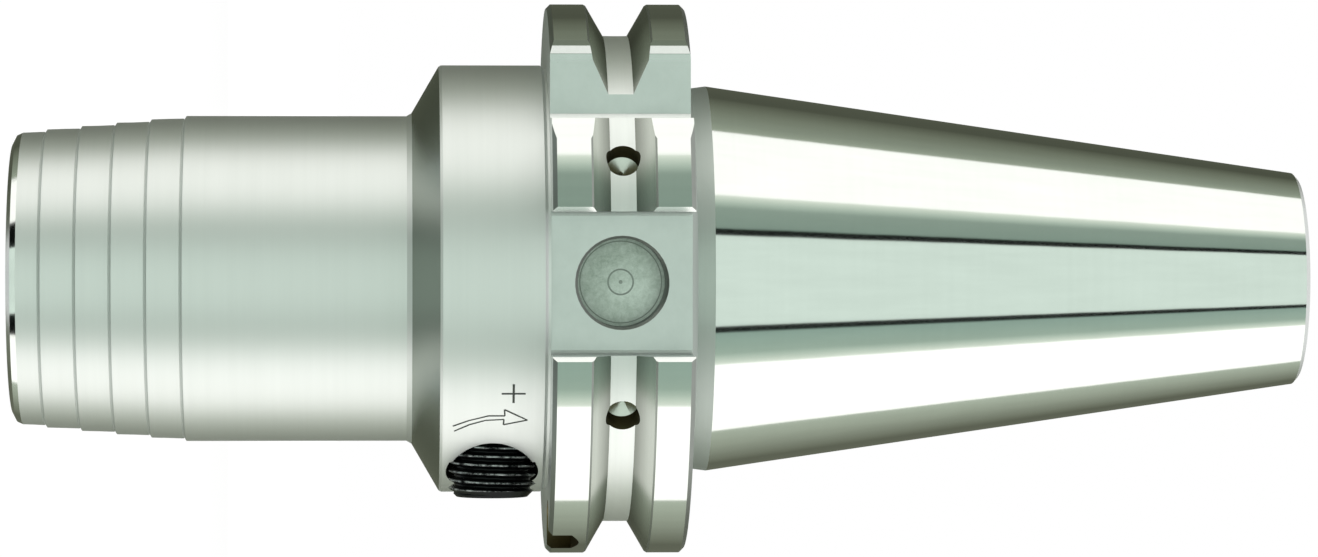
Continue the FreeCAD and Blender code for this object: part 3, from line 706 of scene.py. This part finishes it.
def card(name, points, faces, spots, colours, strengths):
    """Card whose light fades from one colour and strength to another. spots has each point's place in that
    fade, from 0 to 1."""
    mesh = bpy.data.meshes.new(name)
    mesh.from_pydata(points, [], faces)
    fade = mesh.attributes.new("fade", "FLOAT", "POINT")
    for i, spot in enumerate(spots):
        fade.data[i].value = spot
    panel = bpy.data.objects.new(name, mesh)
    bpy.context.scene.collection.objects.link(panel)
    material, tree = new_material(name + "_light")
    across = add(tree, "ShaderNodeAttribute", attribute_name="fade").outputs["Fac"]
    colour = add(tree, "ShaderNodeMix", {"Factor": across, "A": linear(colours[0]),
                                         "B": linear(colours[1])}, data_type="RGBA")
    strength = add(tree, "ShaderNodeMapRange", {"Value": across, "To Min": strengths[0],
                                                "To Max": strengths[1]})
    glow = add(tree, "ShaderNodeEmission", {"Color": colour.outputs["Result"],
                                            "Strength": strength.outputs["Result"]})
    add(tree, "ShaderNodeOutputMaterial", {"Surface": glow.outputs["Emission"]})
    mesh.materials.append(material)
    panel.visible_camera = False
    panel.visible_shadow = False


def standing_card(name, start, end, colours, strengths, low=CARD_LOW, high=CARD_HIGH):
    """Curved card that stands round the chuck from one angle to another."""
    steps = max(1, round(abs(end - start) / CARD_STEP))
    points, faces, spots = [], [], []
    for i in range(steps + 1):
        turn = math.radians(start + (end - start) * i / steps)
        for z in (low, high):
            points.append((CARD_R * math.sin(turn), -CARD_R * math.cos(turn), z))
            spots.append(i / steps)
    for i in range(steps):
        faces.append((2 * i, 2 * i + 2, 2 * i + 3, 2 * i + 1))
    card(name, points, faces, spots, colours, strengths)


def table(name, front, back, colour, strength):
    """Level card under the chuck, from front to back along Y."""
    points = [(-TABLE_HALF, front, TABLE_LOW), (TABLE_HALF, front, TABLE_LOW),
              (TABLE_HALF, back, TABLE_LOW), (-TABLE_HALF, back, TABLE_LOW)]
    card(name, points, [(0, 1, 2, 3)], [0.0] * len(points), (colour, colour), (strength, strength))


def studio():
    """Screens, softboxes and flags round the chuck, and below them what the shoulder and nose reflect."""
    standing_card("front_screen", UPPER_START, LOWER_START, SCREEN, (0.98, 0.98))
    for start, cards in ((UPPER_START, UPPER_CARDS), (LOWER_START, LOWER_CARDS)):
        for name, end, colours, strengths in cards:
            standing_card(name, start, end, colours, strengths)
            start = end
    below = (TABLE_LOW, CARD_LOW)
    upper, lower = SKIRT_FRONTS
    upper_start, lower_start = SKIRT_STARTS
    upper_end, lower_end = SKIRT_ENDS
    standing_card("front_skirt", upper, lower, SCREEN, (1.05, 1.05), *below)
    standing_card("upper_gap", upper, upper_start, BLACK_FRAME, FRAME_GLOW, *below)
    standing_card("lower_gap", lower, lower_start, BLACK_FRAME, FRAME_GLOW, *below)
    standing_card("upper_skirt", upper_start, upper_end, SOFTBOX, (1.4, 1.4), *below)
    standing_card("lower_skirt", lower_start, lower_end, SOFTBOX, (1.5, 1.5), *below)
    below = (BACK_SKIRT_LOW, CARD_LOW)
    standing_card("upper_back_skirt", upper_end, -180.0, ("f0ffe4", "f4ffdb"), (0.30, 0.10), *below)
    standing_card("lower_back_skirt", lower_end, 180.0, ("f2ffe9", "f6ffde"), (0.40, 0.16), *below)
    table("table_front", -TABLE_HALF, TABLE_SPLIT, "dcf4e2", 0.12)
    table("table_back", TABLE_SPLIT, TABLE_HALF, "eaf8f8", 0.55)


def world():
    """White room: plain fill light, and pure white wherever the camera or a reflection sees it."""
    made = bpy.data.worlds.new("white_studio")
    made.use_nodes = True
    tree = made.node_tree
    tree.nodes.clear()
    ray = add(tree, "ShaderNodeLightPath")
    seen = add(tree, "ShaderNodeMath", {0: ray.outputs["Is Camera Ray"], 1: ray.outputs["Is Glossy Ray"]},
               operation="MAXIMUM")
    shown = add(tree, "ShaderNodeMath", {0: seen.outputs[0], 1: ray.outputs["Is Transmission Ray"]},
                operation="MAXIMUM")
    fill = add(tree, "ShaderNodeBackground", {"Color": linear("ffffff"), "Strength": FILL_LIGHT})
    white = add(tree, "ShaderNodeBackground", {"Color": linear("ffffff"), "Strength": 1.0})
    mix = add(tree, "ShaderNodeMixShader", {0: shown.outputs[0], 1: fill.outputs[0], 2: white.outputs[0]})
    add(tree, "ShaderNodeOutputWorld", {"Surface": mix.outputs[0]})
    bpy.context.scene.world = made


def floor():
    """White floor just under the nose. It keeps the chuck's shadow, and is clear when seen from below."""
    mesh = bpy.data.meshes.new("floor")
    corners = [(x * FLOOR_HALF, y * FLOOR_HALF, -FLOOR_DROP)
               for x, y in ((-1, -1), (1, -1), (1, 1), (-1, 1))]
    mesh.from_pydata(corners, [], [(0, 1, 2, 3)])
    plane = bpy.data.objects.new("floor", mesh)
    bpy.context.scene.collection.objects.link(plane)
    material, tree = new_material("white_floor")
    glow = add(tree, "ShaderNodeEmission", {"Color": linear("ffffff"), "Strength": FLOOR_GLOW})
    matt = add(tree, "ShaderNodeBsdfDiffuse", {"Color": linear("ffffff")})
    mix = add(tree, "ShaderNodeMixShader", {0: FLOOR_SHADE, 1: glow.outputs[0], 2: matt.outputs[0]})
    under = add(tree, "ShaderNodeNewGeometry").outputs["Backfacing"]
    clear = add(tree, "ShaderNodeBsdfTransparent")
    above = add(tree, "ShaderNodeMixShader", {0: under, 1: mix.outputs[0], 2: clear.outputs[0]})
    add(tree, "ShaderNodeOutputMaterial", {"Surface": above.outputs[0]})
    mesh.materials.append(material)
    plane.visible_glossy = False
    plane.visible_shadow = False


def camera():
    """Camera at the photograph's place, with its long lens."""
    data = bpy.data.cameras.new("camera")
    data.sensor_width = SENSOR
    data.lens = LENS_PIXELS * SENSOR / PHOTO_WIDTH
    data.clip_start = CAMERA_NEAR
    data.clip_end = CAMERA_FAR
    viewer = bpy.data.objects.new("camera", data)
    bpy.context.scene.collection.objects.link(viewer)
    inward = Vector((math.sin(CAMERA_TURN), math.cos(CAMERA_TURN), 0))
    up_axis = Vector((0, 0, 1))
    ahead = inward * math.cos(CAMERA_PAN) + up_axis * math.sin(CAMERA_PAN)
    right = up_axis * math.cos(CAMERA_PAN) - inward * math.sin(CAMERA_PAN)
    back = -ahead
    up = back.cross(right)
    place = inward * -CAMERA_DISTANCE + up_axis * CAMERA_HEIGHT
    viewer.matrix_world = Matrix((
        (right.x, up.x, back.x, place.x), (right.y, up.y, back.y, place.y),
        (right.z, up.z, back.z, place.z), (0, 0, 0, 1)))
    bpy.context.scene.camera = viewer


dress_body()
dress_nodes()
marks()
studio()
world()
floor()
camera()
bpy.context.scene.view_settings.view_transform = "Standard"
